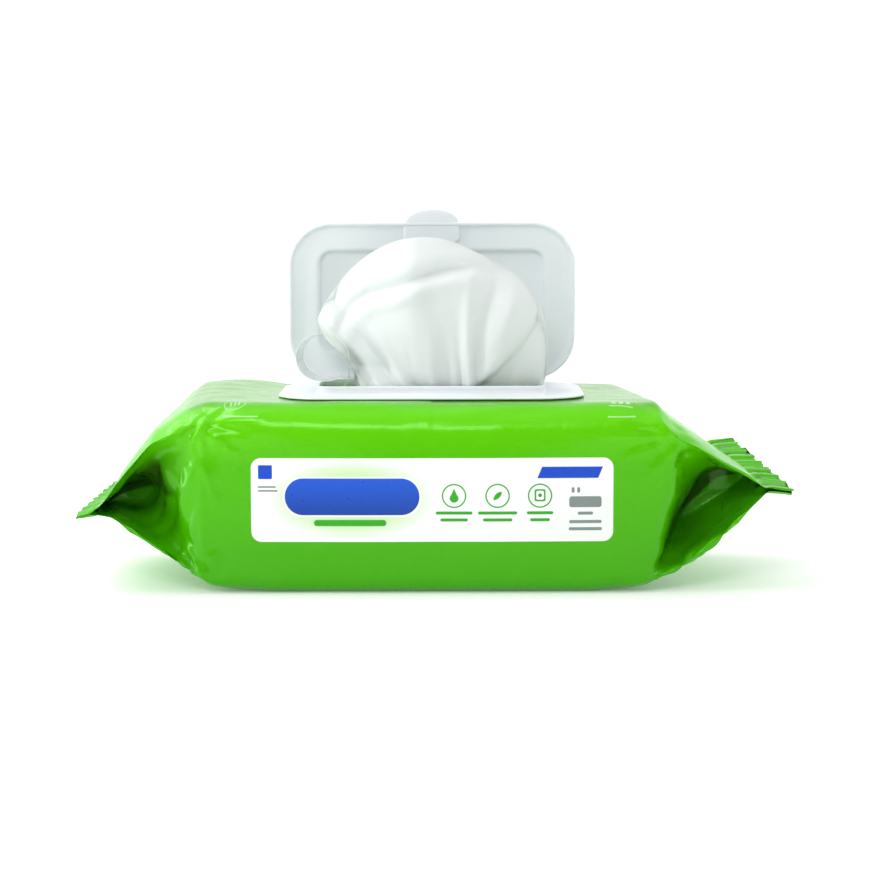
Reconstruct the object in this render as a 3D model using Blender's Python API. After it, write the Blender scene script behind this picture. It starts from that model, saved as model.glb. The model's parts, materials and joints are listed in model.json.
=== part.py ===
"""Soft pack of wet wipes with a flip-top lid, standing on its base with the lid open.

Frame: +Z up, +Y from the front face to the back, +X along the pack. The origin is on
the floor under the middle of the pack. Blender units are metres.

Pieces: a flow-wrapped film pouch with gusseted, crimped ends and a cut mouth, the stack
of folded wipes inside it, the wipe that has been drawn up through the mouth, the peeled
and rolled-up seal label, and the plastic dispenser: a frame, a lid and their hinge web.
"""

import math

import bmesh
import bpy
from mathutils import Vector

MM = 0.001

# Film pouch. Its body is a soft block, and each end narrows to a flat crimped seal.
BODY_HALF_LENGTH = 104 * MM
SEAM_X = 151 * MM
TIP_X = 168.5 * MM
SIDE_Y = 61 * MM
SIDE_BULGE = 4 * MM
TOP_Z = 89.7 * MM
TOP_FALL = 2.2 * MM
BASE_LIFT = 2.5 * MM
TOP_RADIUS = 13 * MM
BASE_RADIUS = 8 * MM
FILM = 0.6 * MM
SEAL_THICKNESS = 1.2 * MM
GUSSET_DEPTH = 24 * MM
LEFT_SEAL = {"front_z": 38.5 * MM, "rear_z": 38.5 * MM, "rear_pull": 1 * MM}
RIGHT_SEAL = {"front_z": 48 * MM, "rear_z": 56 * MM, "rear_pull": 15 * MM}
CAVITY_END = 0.62
MOUTH_LENGTH = 96 * MM
MOUTH_WIDTH = 42 * MM

# Stack of folded wipes: the pouch's own section, a little smaller.
STACK_HALF_LENGTH = 100 * MM
STACK_INSET = 1.1 * MM
STACK_TOP_Z = 86 * MM

# Dispenser frame: a flange glued to the film, with a collar round its opening.
GAP = 0.3 * MM
FRAME_Z = TOP_Z + GAP
FLANGE_TOP_Z = 91.5 * MM
FLANGE_SIZE = (149 * MM, 88 * MM)
FLANGE_CENTRE_Y = 2 * MM
FLANGE_RADIUS = 23.5 * MM
COLLAR_SIZE = (111 * MM, 48 * MM)
COLLAR_RADIUS = 5.5 * MM
COLLAR_WALL = 1.5 * MM
COLLAR_TOP_Z = 95 * MM

# Lid, drawn closed in its own frame, whose X axis is the hinge.
LID_SIZE = (146 * MM, 80 * MM)
LID_RADIUS = 22 * MM
LID_WALL = 1.2 * MM
SKIRT_DEPTH = 3.5 * MM
RECESS_SIZE = (117 * MM, 54 * MM)
RECESS_RADIUS = 6.5 * MM
RECESS_DEPTH = 4.2 * MM
TAB_WIDTH = 28 * MM
TAB_REACH = 7 * MM
HINGE_Y = 40 * MM
HINGE_ABOVE_FLANGE = 1.5 * MM
OPEN_ANGLE = math.radians(90)
WEB_LENGTH = 70 * MM
WEB_THICKNESS = 0.35 * MM

# Wipe drawn through the mouth, and the rolled seal label.
WIPE_TOP_Z = 163.5 * MM
LABEL_THICKNESS = 0.3 * MM
LABEL_FRONT_Y = -19.5 * MM
LABEL_REAR_Y = 3 * MM

CORNER_STEPS = 7


def clear_scene():
    for old in list(bpy.data.objects):
        bpy.data.objects.remove(old, do_unlink=True)


def make_material(name, colour, roughness, alpha=1.0):
    """A Principled BSDF finish with one colour and roughness."""
    made = bpy.data.materials.new(name)
    made.use_nodes = True
    shader = made.node_tree.nodes["Principled BSDF"]
    shader.inputs["Base Color"].default_value = (*colour, 1)
    shader.inputs["Roughness"].default_value = roughness
    shader.inputs["Metallic"].default_value = 0
    shader.inputs["Alpha"].default_value = alpha
    return made


def finish_object(name, bm, finish, smooth_angle=40):
    """Turns a bmesh into a named object with outward faces, shaded smooth but for its edges."""
    bmesh.ops.recalc_face_normals(bm, faces=bm.faces)
    mesh = bpy.data.meshes.new(name)
    bm.to_mesh(mesh)
    bm.free()
    mesh.shade_smooth()
    mesh.set_sharp_from_angle(angle=math.radians(smooth_angle))
    made = bpy.data.objects.new(name, mesh)
    bpy.context.scene.collection.objects.link(made)
    if finish:
        mesh.materials.append(finish)
    return made


def bridge(bm, first, second):
    """Quads between two rings with the same number of vertices."""
    count = len(first)
    for i in range(count):
        j = (i + 1) % count
        bm.faces.new((first[i], first[j], second[j], second[i]))


def loft(bm, rings, ring_shaped=False):
    """Skins rings of points. The ends are capped, or joined to each other if ring_shaped."""
    loops = [[bm.verts.new(point) for point in ring] for ring in rings]
    for first, second in zip(loops, loops[1:]):
        bridge(bm, first, second)
    if ring_shaped:
        bridge(bm, loops[-1], loops[0])
    else:
        bm.faces.new(reversed(loops[0]))
        bm.faces.new(loops[-1])


def rounded_rectangle(size, radius, z, centre_y=0.0, steps=CORNER_STEPS):
    """Points round a rectangle with arc corners, in a level plane."""
    half_x, half_y = size[0] / 2 - radius, size[1] / 2 - radius
    points = []
    for quarter, (sx, sy) in enumerate(((1, 1), (-1, 1), (-1, -1), (1, -1))):
        for step in range(steps + 1):
            angle = (quarter + step / steps) * math.pi / 2
            x = sx * half_x + radius * math.cos(angle)
            y = sy * half_y + radius * math.sin(angle)
            points.append(Vector((x, centre_y + y, z)))
    return points


def inset_rectangle(size, radius, inset, z, centre_y=0.0):
    """The same rounded rectangle, drawn in by an inset all round."""
    smaller = (size[0] - 2 * inset, size[1] - 2 * inset)
    return rounded_rectangle(smaller, radius - inset, z, centre_y)


def add_box(bm, low, high):
    """An upright box between two corners."""
    bottom = [(low[0], low[1]), (high[0], low[1]), (high[0], high[1]), (low[0], high[1])]
    loft(bm, [[Vector((x, y, z)) for x, y in bottom] for z in (low[2], high[2])])


def apply_boolean(target, other, operation):
    """Cuts or joins another object and removes it."""
    modifier = target.modifiers.new(operation.title(), "BOOLEAN")
    modifier.operation = operation
    modifier.solver = "EXACT"
    modifier.object = other
    bpy.context.view_layer.objects.active = target
    bpy.ops.object.modifier_apply(modifier=modifier.name)
    bpy.data.objects.remove(other, do_unlink=True)


def smooth_step(value):
    """0 below 0, 1 above 1, and an S-curve between."""
    value = min(1.0, max(0.0, value))
    return value * value * (3 - 2 * value)


def body_section(inset=0.0):
    """(y, z, share up the side) round the block's middle, from the base's middle by the front.

    The share is 0 on the base and the top, and runs from 0 to 1 up the front or back side.
    """
    half, top = SIDE_Y - inset, TOP_Z - inset
    low_r, high_r = BASE_RADIUS - inset / 2, TOP_RADIUS - inset / 2
    points = [(-half * s, inset, 0.0) for s in (0.0, 0.35, 0.7)]
    for step in range(4):
        angle = step / 3 * math.pi / 2
        y = -half + low_r - low_r * math.sin(angle)
        z = inset + low_r - low_r * math.cos(angle)
        points.append((y, z, 0.04 * step))
    for share in (0.3, 0.44, 0.5, 0.56, 0.7):
        z = inset + low_r + (top - high_r - inset - low_r) * (share - 0.12) / 0.76
        points.append((-half, z, share))
    for step in range(5):
        angle = step / 4 * math.pi / 2
        y = -half + high_r - high_r * math.cos(angle)
        z = top - high_r + high_r * math.sin(angle)
        points.append((y, z, 0.88 + 0.03 * step))
    points += [(-half * s, top, 0.0) for s in (0.62, 0.32)]
    back = [(-y, z, share) for y, z, share in reversed(points[1:])]
    return points + [(0.0, top, 0.0)] + back


def seal_of(x):
    return RIGHT_SEAL if x > 0 else LEFT_SEAL


def pouch_ring(x, inset=0.0):
    """The pouch's section at a distance along it, as a ring of points.

    Along the body the block's section bulges at the sides. Past it the height closes
    linearly on the seal's line, and both sides tuck inwards as gussets.
    """
    reach = min(abs(x), SEAM_X)
    along = max(0.0, (reach - BODY_HALF_LENGTH) / (SEAM_X - BODY_HALF_LENGTH))
    body_share = min(1.0, reach / BODY_HALF_LENGTH)
    bulge = SIDE_BULGE * (1 - body_share**2)
    soften = smooth_step((body_share - 0.75) / 0.25)
    seal = seal_of(x)
    tuck = GUSSET_DEPTH * math.sin(math.pi * min(1.0, along**0.8)) ** 0.8 if 0 < along < 1 else 0.0
    closing = 1 - along
    ring = []
    for y, z, share in body_section(inset):
        side_wave = math.sin(math.pi * share) if share > 0 else 0.0
        z_body = z - TOP_FALL * soften * z / TOP_Z + BASE_LIFT * soften * (1 - z / TOP_Z)
        toward_rear = (y + SIDE_Y) / (2 * SIDE_Y)
        seal_z = seal["front_z"] + (seal["rear_z"] - seal["front_z"]) * toward_rear
        least = SEAL_THICKNESS / 2 * (2 * z / TOP_Z - 1)
        z_end = seal_z + least
        side = math.copysign(1, y) if y else 0
        notch = tuck * max(0.0, 1 - abs(2 * share - 1) ** 1.2) if share > 0 else 0.0
        y_end = y + side * (bulge * side_wave) - side * notch
        x_end = x - math.copysign(seal["rear_pull"] * toward_rear * along, x)
        ring.append(Vector((x_end, y_end, z_end + (z_body - z_end) * closing)))
    return ring


def pouch_stations(limit):
    """Distances along the pouch at which its section is drawn, out to a limit."""
    body = [0, 30, 60, 80, 92, 100, 104]
    wedge = [108, 113, 119, 126, 133, 140, 146, 149.6, 151]
    fin = [160, 168.5]
    half = [x * MM for x in body + wedge + fin if x * MM <= limit + 0.01 * MM]
    return [-x for x in reversed(half[1:])] + half


def make_film_pouch(finish):
    """The film: its outer skin less the room inside and the cut mouth under the frame."""
    outer = bmesh.new()
    loft(outer, [pouch_ring(x) for x in pouch_stations(TIP_X)])
    pouch = finish_object("film_pouch", outer, finish)

    room_end = BODY_HALF_LENGTH + CAVITY_END * (SEAM_X - BODY_HALF_LENGTH)
    room = bmesh.new()
    loft(room, [pouch_ring(x, FILM) for x in pouch_stations(room_end)])
    apply_boolean(pouch, finish_object("room", room, None), "DIFFERENCE")

    mouth = bmesh.new()
    size, radius = (MOUTH_LENGTH, MOUTH_WIDTH), MOUTH_WIDTH / 2 - 0.2 * MM
    levels = (TOP_Z - 2 * FILM, TOP_Z + 2 * FILM)
    loft(mouth, [rounded_rectangle(size, radius, z) for z in levels])
    apply_boolean(pouch, finish_object("mouth", mouth, None), "DIFFERENCE")
    return pouch


def make_folded_wipes(finish):
    """The stack of folded wipes: one soft block that follows the pouch inside."""
    stack = bmesh.new()
    half = [x * MM for x in (0, 35, 70, 92)] + [STACK_HALF_LENGTH]
    rings = []
    for x in [-x for x in reversed(half[1:])] + half:
        ring = pouch_ring(x, STACK_INSET)
        share = 1 - (abs(x) > 99 * MM) * 0.015
        rings.append([Vector((p.x, p.y * share, min(p.z, STACK_TOP_Z))) for p in ring])
    loft(stack, rings)
    bmesh.ops.remove_doubles(stack, verts=stack.verts, dist=0.00001)
    return finish_object("folded_wipes", stack, finish)


def make_drawn_wipe(finish):
    """The wipe that stands up through the mouth: a gathered tuft, closed as one soft solid.

    Each level is a flattened oval. Its left lobe swings back, clear of the rolled label.
    """
    levels = [  # height, left end, right end, half thickness
        (86.4, -26, 30, 5.0),
        (88.0, -34, 40, 8.5),
        (91.0, -37, 44, 9.5),
        (95.0, -38, 50, 10.5),
        (100.0, -42, 53, 12.0),
        (108.0, -50, 54.5, 13.0),
        (120.0, -56, 55.5, 13.5),
        (134.0, -54, 54, 13.0),
        (146.0, -46, 46, 11.5),
        (155.0, -35, 33, 9.0),
        (160.5, -24, 18, 6.0),
        (WIPE_TOP_Z / MM, -13, 6, 2.5),
    ]
    count = 28
    tuft = bmesh.new()
    rings = []
    for height, left, right, thick in levels:
        ring = []
        for i in range(count):
            angle = 2 * math.pi * i / count
            spread = math.copysign(abs(math.cos(angle)) ** 0.8, math.cos(angle))
            x = (left + right) / 2 + (right - left) / 2 * spread
            swing = 25 * smooth_step((-x - 20) / 20) * smooth_step((height - 92) / 8)
            y = -7.5 + thick * math.sin(angle) + swing
            ring.append(Vector((x * MM, y * MM, height * MM)))
        rings.append(ring)
    loft(tuft, rings)
    return finish_object("drawn_wipe", tuft, finish, 80)


def label_line():
    """The rolled label's middle line in the x-z plane: a flat glued foot, then a loose spiral."""
    glued = [(-53.4, 90.2), (-50.0, 90.2)]
    centre_x, centre_z = -53.2, 106.9
    rise = [(-46.6, 90.9), (-43.4, 93.2), (-41.0, 97.0)]
    spiral = []
    turns = 20
    for i in range(turns + 1):
        angle = math.radians(-22 + 292 * i / turns)
        radius = 13.6 - 3.2 * smooth_step((i / turns - 0.55) / 0.45)
        spiral.append((centre_x + radius * math.cos(angle), centre_z + radius * math.sin(angle)))
    end = [(-48.6, 96.9), (-44.6, 98.3)]
    return [Vector((x * MM, 0, z * MM)) for x, z in glued + rise + spiral + end]


def make_peel_label(finish):
    """The clear seal label, peeled off the mouth and rolled back on its glued end."""
    line = label_line()
    left, right = [], []
    for i, point in enumerate(line):
        ahead, behind = line[min(i + 1, len(line) - 1)], line[max(i - 1, 0)]
        along = (ahead - behind).normalized()
        across = Vector((-along.z, 0, along.x)) * LABEL_THICKNESS / 2
        left.append(point + across)
        right.append(point - across)
    outline = left + right[::-1]
    label = bmesh.new()
    edges = []
    for y in (LABEL_FRONT_Y, LABEL_REAR_Y):
        edges.append([label.verts.new(Vector((p.x, y, p.z))) for p in outline])
    bridge(label, *edges)
    count = len(outline)
    for loop in edges:
        for i in range(len(line) - 1):
            label.faces.new((loop[i], loop[i + 1], loop[count - 2 - i], loop[count - 1 - i]))
    return finish_object("peel_label", label, finish)


def make_lid_frame(finish):
    """The frame: a flange, the collar round its opening and the ridge that the web leaves."""
    base, top = FRAME_Z, FLANGE_TOP_Z
    flange = (FLANGE_SIZE, FLANGE_RADIUS)
    inner = (COLLAR_SIZE[0] - 2 * COLLAR_WALL, COLLAR_SIZE[1] - 2 * COLLAR_WALL)
    rings = [
        inset_rectangle(*flange, 0.3 * MM, base, FLANGE_CENTRE_Y),
        inset_rectangle(*flange, 0, base + 0.5 * MM, FLANGE_CENTRE_Y),
        inset_rectangle(*flange, 0.5 * MM, base + 0.95 * MM, FLANGE_CENTRE_Y),
        inset_rectangle(*flange, 4 * MM, top, FLANGE_CENTRE_Y),
        inset_rectangle(COLLAR_SIZE, COLLAR_RADIUS, -1.1 * MM, top),
        inset_rectangle(COLLAR_SIZE, COLLAR_RADIUS, -0.2 * MM, top + 0.9 * MM),
        inset_rectangle(COLLAR_SIZE, COLLAR_RADIUS, 0, COLLAR_TOP_Z - 0.5 * MM),
        inset_rectangle(COLLAR_SIZE, COLLAR_RADIUS, 0.5 * MM, COLLAR_TOP_Z),
        rounded_rectangle(inner, COLLAR_RADIUS - COLLAR_WALL, COLLAR_TOP_Z - 0.2 * MM),
        rounded_rectangle(inner, COLLAR_RADIUS - COLLAR_WALL, base),
    ]
    frame = bmesh.new()
    loft(frame, rings, ring_shaped=True)
    made = finish_object("lid_frame", frame, finish)

    ridge = bmesh.new()
    half = WEB_LENGTH / 2 + 0.5 * MM
    top_of_ridge = FLANGE_TOP_Z + HINGE_ABOVE_FLANGE - 0.25 * MM
    low = (-half, HINGE_Y - 1.6 * MM, FRAME_Z + 0.6 * MM)
    add_box(ridge, low, (half, HINGE_Y - 0.3 * MM, top_of_ridge))
    apply_boolean(made, finish_object("ridge", ridge, None), "UNION")
    return made


def lid_rings():
    """The lid's section from the middle of its underside, round its skirt, to its top."""
    edge = -HINGE_ABOVE_FLANGE + GAP
    band_under = edge + SKIRT_DEPTH - LID_WALL
    band_top = band_under + LID_WALL
    recess_under = band_under + RECESS_DEPTH
    plateau = recess_under + LID_WALL
    middle = -LID_SIZE[1] / 2
    lid = (LID_SIZE, LID_RADIUS)
    recess = (RECESS_SIZE, RECESS_RADIUS)

    def outline(inset, z):
        return inset_rectangle(*lid, inset, z, middle)

    def inner(inset, z):
        return inset_rectangle(*recess, inset, z, middle)

    return [
        inner(2.4 * MM, recess_under),
        inner(1.2 * MM, recess_under - 0.5 * MM),
        inner(0.5 * MM, band_under + 0.5 * MM),
        inner(0, band_under),
        outline(5 * MM, band_under),
        outline(2.6 * MM, band_under - 0.35 * MM),
        outline(1.5 * MM, band_under - 1.3 * MM),
        outline(1.1 * MM, edge),
        outline(0.2 * MM, edge),
        outline(0, edge + 0.4 * MM),
        outline(0.25 * MM, band_top - 1.1 * MM),
        outline(1.1 * MM, band_top - 0.25 * MM),
        outline(2.4 * MM, band_top),
        inner(-1.6 * MM, band_top),
        inner(-0.7 * MM, band_top + 0.5 * MM),
        inner(0, plateau - 0.5 * MM),
        inner(1.0 * MM, plateau),
    ]


def make_flip_lid(finish):
    """The lid, drawn closed about its hinge and then turned open."""
    lid = bmesh.new()
    loft(lid, lid_rings())
    made = finish_object("flip_lid", lid, finish)

    edge = -HINGE_ABOVE_FLANGE + GAP
    band_under = edge + SKIRT_DEPTH - LID_WALL
    front = -LID_SIZE[1]

    channel = bmesh.new()
    low = (-TAB_WIDTH / 2 + 1 * MM, front - 1 * MM, edge - 1 * MM)
    add_box(channel, low, (TAB_WIDTH / 2 - 1 * MM, front + 9 * MM, band_under - 0.02 * MM))
    apply_boolean(made, finish_object("channel", channel, None), "DIFFERENCE")

    tongue = bmesh.new()
    arc_radius = ((TAB_WIDTH / 2) ** 2 + TAB_REACH**2) / (2 * TAB_REACH)
    half_angle = math.asin(TAB_WIDTH / 2 / arc_radius)
    arc_centre = front - TAB_REACH + arc_radius
    rim = []
    for step in range(13):
        angle = half_angle * (1 - step / 6)
        x, y = -arc_radius * math.sin(angle), arc_centre - arc_radius * math.cos(angle)
        rim.append((x, y))
    rim += [(TAB_WIDTH / 2, front + 3 * MM), (-TAB_WIDTH / 2, front + 3 * MM)]
    slab = (band_under - 0.01 * MM, band_under + LID_WALL - 0.06 * MM)
    loft(tongue, [[Vector((x, y, z)) for x, y in rim] for z in slab])
    apply_boolean(made, finish_object("tongue", tongue, None), "UNION")

    notch = bmesh.new()
    half = WEB_LENGTH / 2 + 1 * MM
    add_box(notch, (-half, -2.2 * MM, -3 * MM), (half, 1 * MM, 0.45 * MM))
    apply_boolean(made, finish_object("notch", notch, None), "DIFFERENCE")

    made.location = (0, HINGE_Y, FLANGE_TOP_Z + HINGE_ABOVE_FLANGE)
    made.rotation_euler = (-OPEN_ANGLE, 0, 0)
    return made


def make_hinge_web(finish):
    """The living hinge: a thin web that turns from the frame's ridge up to the lid."""
    face = WEB_THICKNESS / 2 - 0.02 * MM
    low = 0.05 * MM
    section = [
        (-1.5 * MM, low),
        (face, low),
        (face, 1.9 * MM),
        (face - WEB_THICKNESS, 1.9 * MM),
        (face - WEB_THICKNESS, low + WEB_THICKNESS),
        (-1.5 * MM, low + WEB_THICKNESS),
    ]
    axis_z = FLANGE_TOP_Z + HINGE_ABOVE_FLANGE
    web = bmesh.new()
    ends = (-WEB_LENGTH / 2, WEB_LENGTH / 2)
    loft(web, [[Vector((x, HINGE_Y + y, axis_z + z)) for y, z in section] for x in ends])
    return finish_object("hinge_web", web, finish)


def main():
    clear_scene()
    film = make_material("printed_film", (0.12, 0.55, 0.02), 0.22)
    wipe = make_material("wipe_cloth", (0.90, 0.94, 0.91), 0.85)
    plastic = make_material("white_plastic", (0.92, 0.95, 0.94), 0.35)
    clear = make_material("clear_film", (0.95, 0.98, 0.97), 0.10, 0.35)
    make_film_pouch(film)
    make_folded_wipes(wipe)
    make_drawn_wipe(wipe)
    make_peel_label(clear)
    make_lid_frame(plastic)
    make_flip_lid(plastic)
    make_hinge_web(plastic)


main()
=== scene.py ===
"""Looks of a soft pack of wet wipes with a flip-top lid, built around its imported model.

Frame: +Z up, +Y from the front face to the back, +X along the pack, the floor at zero.
Lengths inside the functions are millimetres, and every mesh is stored in metres.
"""

import functools
import json

import bmesh
import bpy
import numpy as np
from bpy.props import FloatProperty, FloatVectorProperty, PointerProperty
from mathutils import Euler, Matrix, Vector


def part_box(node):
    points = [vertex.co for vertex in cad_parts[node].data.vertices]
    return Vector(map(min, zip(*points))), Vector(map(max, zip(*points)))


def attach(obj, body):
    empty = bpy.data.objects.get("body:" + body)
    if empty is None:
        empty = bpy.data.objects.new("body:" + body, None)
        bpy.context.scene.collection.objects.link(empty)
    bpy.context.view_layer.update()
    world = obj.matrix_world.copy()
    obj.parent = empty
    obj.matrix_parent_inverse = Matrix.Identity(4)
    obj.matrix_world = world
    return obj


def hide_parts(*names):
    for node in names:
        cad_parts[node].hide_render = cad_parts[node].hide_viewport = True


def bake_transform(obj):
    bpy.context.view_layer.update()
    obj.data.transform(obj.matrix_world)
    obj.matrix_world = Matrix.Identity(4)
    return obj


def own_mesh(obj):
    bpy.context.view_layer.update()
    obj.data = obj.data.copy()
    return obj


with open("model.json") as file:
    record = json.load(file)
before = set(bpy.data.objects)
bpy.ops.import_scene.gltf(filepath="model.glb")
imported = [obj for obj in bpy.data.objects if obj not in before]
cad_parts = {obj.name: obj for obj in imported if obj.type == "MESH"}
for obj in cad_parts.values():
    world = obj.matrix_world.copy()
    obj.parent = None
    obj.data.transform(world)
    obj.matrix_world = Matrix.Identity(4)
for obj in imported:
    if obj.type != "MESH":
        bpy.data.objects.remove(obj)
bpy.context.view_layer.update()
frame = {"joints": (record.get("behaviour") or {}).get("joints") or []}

bl_info = {
    "name": "Wet wipes pack",
    "version": (1, 0, 0),
    "blender": (4, 5, 0),
    "location": "3D View > Sidebar > Wipes pack",
    "description": "Builds the film pouch, wipes, label and flip-top dispenser of a soft pack",
    "category": "Object",
}

MM = 0.001

# Where the CAD puts things, in millimetres.
FRAME_LOW, FRAME_HIGH = (np.array(corner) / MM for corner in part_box("lid_frame"))
STACK_LOW, STACK_HIGH = (np.array(corner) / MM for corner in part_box("folded_wipes"))
HINGE = np.array(frame["joints"][0]["pos_m"]) / MM
FILM_TOP = FRAME_LOW[2] - 0.3

# The pouch: half its depth, half the length of its straight body, where the sealed fins start,
# the pitch of their sawtooth cut, and the mouth's half size, corner radius and depth.
SIDE = 61.0
BODY_END = 104.0
FIN_START = 158.0
TOOTH = 3.4
MOUTH_HALF, MOUTH_RADIUS, MOUTH_DEPTH = np.array([48.0, 21.0]), 20.8, 4.8

# Height of the panels at a distance from the pack's middle: front, then rear.
LEFT_TOP = (
    ((0, 89.7), (100, 89.5), (108, 89.2), (114, 86.8), (132, 76.4), (146, 57.5), (152, 47.8),
     (156, 42.5), (162, 38.4), (170, 36.4)),
    ((0, 89.7), (76, 89.7), (90, 91.8), (104, 92.6), (117, 92.3), (125, 86.4), (147, 58),
     (154, 45.5), (158, 40), (163, 38), (170, 37)),
)
LEFT_BASE = (
    ((0, 0), (75, 0), (95, 1.6), (104, 3.4), (108, 6), (151, 35.8), (157, 36.8), (170, 35)),
    ((0, 0), (75, 0), (95, 1.6), (104, 3.4), (108, 6), (151, 35.8), (157, 37.4), (170, 36)),
)
RIGHT_BASE = (
    ((0, 0), (75, 0), (95, 1.8), (102, 3.6), (105, 5.6), (118, 11.4), (130, 20), (140, 28),
     (150, 37.6), (160, 47.2), (166, 46.8), (173, 45.8)),
    ((0, 0), (75, 0), (95, 1.8), (102, 3.6), (105, 5.6), (118, 14.5), (130, 25), (140, 35),
     (150, 46), (160, 55.5), (166, 56.6), (173, 57.8)),
)
# How far the right top panel has fallen at a share of the way from its ridge to the seam.
RIGHT_FALL = (
    ((-9, 0), (0, 0), (0.12, 0.17), (0.2, 0.26), (0.35, 0.38), (0.6, 0.61), (0.84, 0.825),
     (1, 1), (2, 1)),
    ((-9, 0), (0, 0), (0.18, 0.11), (0.39, 0.3), (0.58, 0.5), (0.8, 0.776), (1, 1), (2, 1)),
)
# Share of the height at which the side tucks are deepest, and where the right deep fold starts.
LEFT_VALLEY = 0.42
RIGHT_VALLEY = ((100, 0.05), (108, 0.09), (122, 0.2), (134, 0.31), (146, 0.5), (158, 0.55))
RIGHT_FOLD = ((0, 103.5), (0.12, 106.5), (0.5, 115), (0.82, 113.5), (1, 110))
FOLD_SHARE = 0.9
LEFT_TIP, RIGHT_TIP = 168.0, 172.0
RIGHT_REAR_PULL = 15.0

# Crumpled corners: the middle of each, and how far it spreads.
CORNERS = (((-110, -61, 77), 13), ((-114, -58, 14), 12), ((114, -60, 72), 11), ((118, -58, 16), 12),
           ((-110, 61, 77), 12), ((114, 60, 70), 12), ((134, -54, 34), 10))

# Creases of the film: two ends, width and height of each ridge. A negative height is a furrow.
CREASES = (
    ((113, -61, 75), (84, -58, 84), 1.9, 1.0),
    ((113, -61, 75), (90, -62, 79), 1.5, -0.9),
    ((113, -61, 74), (80, -64, 75), 1.9, 0.8),
    ((112, -61, 73), (94, -63, 70), 1.5, -0.8),
    ((112, -61, 72), (88, -64, 63), 1.9, 0.7),
    ((113, -60, 76), (102, -50, 88), 1.8, -0.9),
    ((113, -60, 76), (92, -48, 89), 2.0, 0.9),
    ((111, -62, 66), (101, -64, 52), 1.8, 0.7),
    ((118, -56, 66), (132, -52, 60), 1.6, -0.9),
    ((116, -56, 58), (128, -48, 50), 1.8, 0.9),
    ((-104, -61, 82), (-76, -59, 84), 2.0, 0.9),
    ((-105, -61, 80), (-84, -63, 77), 1.7, -0.9),
    ((-107, -61, 77), (-90, -64, 66), 2.0, 0.8),
    ((-104, -60, 83), (-92, -50, 88), 1.8, -0.9),
    ((-106, -60, 81), (-114, -60, 70), 1.5, 1.5),
    ((-110, -60, 80), (-118, -59, 72), 1.5, -1.2),
    ((-112, -60, 82), (-122, -58, 76), 1.5, 1.3),
    ((-107, -61, 62), (-100, -63, 40), 1.7, 0.6),
    ((-60, -57, 86), (-20, -58, 85), 2.6, -0.5),
    ((-10, -60, 82), (28, -58, 85), 2.4, 0.5),
    ((30, -59, 84), (62, -57, 86), 2.2, -0.6),
    ((-98, -63, 12), (-70, -64, 6), 2.0, 0.6),
    ((100, -63, 10), (66, -64, 5), 2.0, 0.6),
    ((98, -64, 18), (84, -65, 8), 1.8, -0.5),
    ((-122, -52, 34), (-108, -61, 8), 1.5, 1.6),
    ((-126, -54, 32), (-112, -60, 14), 1.5, -1.2),
    ((-134, -52, 34), (-122, -56, 24), 1.6, 1.0),
    ((-124, -50, 66), (-119, -56, 48), 1.5, 1.2),
    ((-128, -48, 70), (-124, -44, 52), 1.6, -1.2),
    ((112, -58, 70), (114, -56, 44), 1.5, 1.1),
    ((108, -61, 9), (116, -50, 20), 1.5, -1.1),
    ((114, -61, 11), (121, -50, 24), 1.5, 1.5),
    ((120, -61, 15), (127, -50, 29), 1.5, -1.3),
    ((127, -61, 20), (134, -50, 36), 1.5, 1.4),
    ((136, -61, 27), (142, -50, 42), 1.6, -1.1),
    ((143, -60, 34), (150, -50, 46), 1.6, 1.0),
)


# ---------------------------------------------------------------- surfaces


def smooth_curve(x, knots):
    """Cubic Hermite curve through the knots, with slopes from their neighbours."""
    xs, ys = np.array(knots, float).T
    slopes = np.gradient(ys, xs)
    x = np.clip(x, xs[0], xs[-1])
    i = np.clip(np.searchsorted(xs, x) - 1, 0, len(xs) - 2)
    h = xs[i + 1] - xs[i]
    t = (x - xs[i]) / h
    rise = ys[i] * (2 * t**3 - 3 * t**2 + 1) + ys[i + 1] * (3 * t**2 - 2 * t**3)
    return rise + h * (slopes[i] * (t**3 - 2 * t**2 + t) + slopes[i + 1] * (t**3 - t**2))


def soft_line(x, knots, rounding=1.2):
    """Straight lines through the knots, each corner rounded over a distance either side of it."""
    xs, ys = np.array(knots, float).T
    return np.mean([np.interp(x + d, xs, ys) for d in np.linspace(-rounding, rounding, 7)], axis=0)


def ramp(x, rounding):
    """0 well below zero, x well above it, and a short bend between."""
    return 0.5 * (x + np.sqrt(x * x + rounding * rounding))


def smooth_step(x, low, high):
    """0 before low, 1 after high, and an S-curve between."""
    t = np.clip((x - low) / (high - low), 0, 1)
    return t * t * (3 - 2 * t)


def ripples(seed, count, shortest, longest):
    """Random plane waves: directions, wave numbers and phases, the same on each run."""
    rng = np.random.default_rng(seed)
    directions = rng.normal(size=(count, 3))
    directions /= np.linalg.norm(directions, axis=1)[:, None]
    lengths = rng.uniform(shortest, longest, count)
    return directions * (2 * np.pi / lengths)[:, None], rng.uniform(0, 2 * np.pi, count)


def waviness(points, waves):
    """The mean of the plane waves at each point, between about -1 and 1."""
    vectors, phases = waves
    return np.sin(points @ vectors.T + phases).sum(-1) / np.sqrt(len(phases))


def grid_normals(points):
    """Unit normals of a grid that closes across, from the cross product of its two gradients."""
    along = np.gradient(points, axis=0)
    padded = np.concatenate([points[:, -1:], points, points[:, :1]], axis=1)
    across = np.gradient(padded, axis=1)[:, 1:-1]
    normals = np.cross(along, across)
    return normals / np.maximum(np.linalg.norm(normals, axis=2), 1e-9)[:, :, None]


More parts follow.
